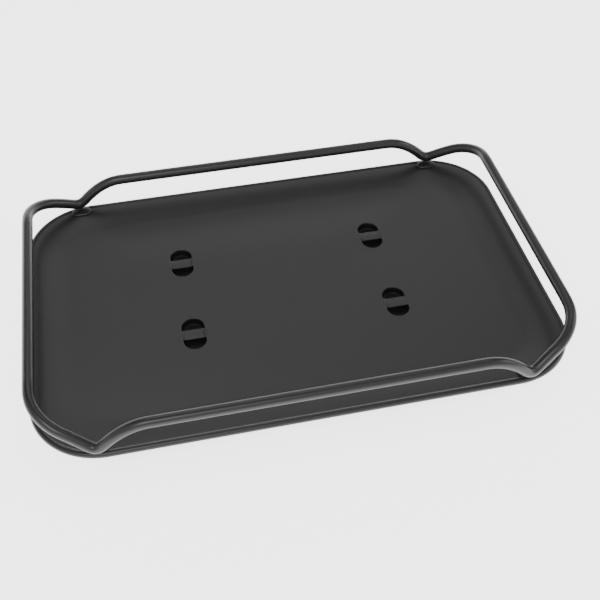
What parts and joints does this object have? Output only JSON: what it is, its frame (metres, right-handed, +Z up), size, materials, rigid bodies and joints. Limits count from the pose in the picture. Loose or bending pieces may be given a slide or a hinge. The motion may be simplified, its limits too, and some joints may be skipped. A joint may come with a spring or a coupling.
{
  "type": "folding luggage rack",
  "caption": "Folding luggage rack: a dished steel deck with strap slots inside a wavy rod rail, on two H-shaped leg frames that fold flat under it.",
  "frame": {"origin": "on the ground under the middle of the folded rack", "axes": "+X along the deck's long side, +Z up, -Y is the front"},
  "size_m": [0.61, 0.4008, 0.0897],
  "materials": {
    "painted_steel": "satin",
    "bright_steel": "satin",
    "rubber": "matte",
    "black_plastic": "matte"
  },
  "bodies": {
    "rack": {"deck": "painted_steel", "strap_cups": "black_plastic", "rail": "painted_steel", "rail_tabs": "painted_steel", "bracket_left_front": "painted_steel", "bracket_left_back": "painted_steel", "bracket_right_front": "painted_steel", "bracket_right_back": "painted_steel", "hinge_pins": "bright_steel", "stop_pins": "bright_steel", "lock_guides": "bright_steel", "leg_cradles": "rubber"},
    "left_legs": {"leg_left_tube_front": "painted_steel", "leg_left_tube_back": "painted_steel", "leg_left_stretcher": "painted_steel", "leg_left_foot_front": "rubber", "leg_left_foot_back": "rubber", "leg_left_bushes": "black_plastic", "leg_left_plugs": "black_plastic"},
    "right_legs": {"leg_right_tube_front": "painted_steel", "leg_right_tube_back": "painted_steel", "leg_right_stretcher": "painted_steel", "leg_right_foot_front": "rubber", "leg_right_foot_back": "rubber", "leg_right_bushes": "black_plastic", "leg_right_plugs": "black_plastic"},
    "lock_left": {"lock_left_pin": "bright_steel", "lock_left_knob": "black_plastic"},
    "lock_right": {"lock_right_pin": "bright_steel", "lock_right_knob": "black_plastic"}
  },
  "joints": [
    {"name": "left_legs_fold", "type": "hinge", "parent": "rack", "child": "left_legs", "pos_m": [-0.246, 0, 0.011], "axis": [0, 1, 0], "range_deg": [0, 97]},
    {"name": "right_legs_fold", "type": "hinge", "parent": "rack", "child": "right_legs", "pos_m": [0.246, 0, 0.011], "axis": [0, -1, 0], "range_deg": [0, 97]},
    {"name": "left_lock_slide", "type": "slide", "parent": "rack", "child": "lock_left", "axis": [0, -1, 0], "range_m": [0, 0.021]},
    {"name": "right_lock_slide", "type": "slide", "parent": "rack", "child": "lock_right", "axis": [0, -1, 0], "range_m": [0, 0.021]}
  ]
}
